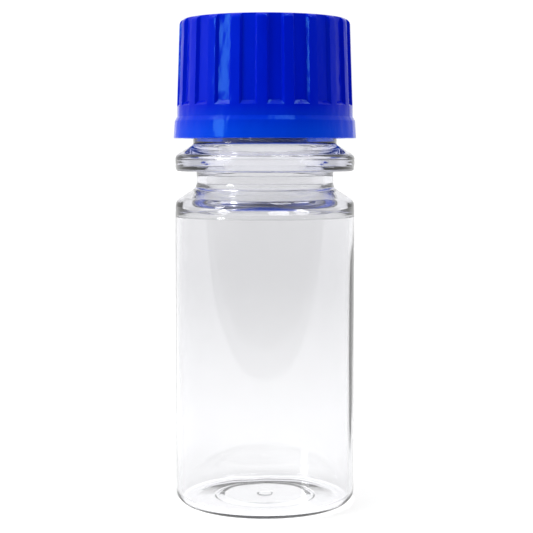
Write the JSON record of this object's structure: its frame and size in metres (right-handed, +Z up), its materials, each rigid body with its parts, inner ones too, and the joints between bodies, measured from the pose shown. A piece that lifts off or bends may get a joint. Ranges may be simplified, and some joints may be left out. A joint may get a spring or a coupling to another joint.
{
  "type": "gold sample vial",
  "caption": "Clear straight-sided plastic vial with a support ring below its neck, closed by a ribbed blue screw cap with a sealing disc.",
  "frame": {"origin": "centre of the circle that the vial stands on", "axes": "+Z up along the vial's axis, through the cap; X and Y level"},
  "size_m": [0.0254, 0.0254, 0.0672],
  "materials": {
    "clear_plastic": "clear, polished",
    "liner_foam": "soft, satin skin on foam",
    "blue_plastic": "moulded, semi-gloss"
  },
  "bodies": {
    "vial": {"vial_body": "clear_plastic"},
    "liner": {"cap_liner": "liner_foam"},
    "cap": {"screw_cap": "blue_plastic"}
  },
  "joints": [
    {"name": "cap_rise", "type": "slide", "parent": "vial", "child": "liner", "axis": [0, 0, 1], "range_m": [0, 0.01905]},
    {"name": "cap_turn", "type": "hinge", "parent": "liner", "child": "cap", "pos_m": [0, 0, 0.06], "axis": [0, 0, 1], "range_deg": [0, 2160]}
  ],
  "couplings": [
    {"joint": "cap_rise", "follows": "cap_turn", "m_per_rad": 0.00050532}
  ]
}
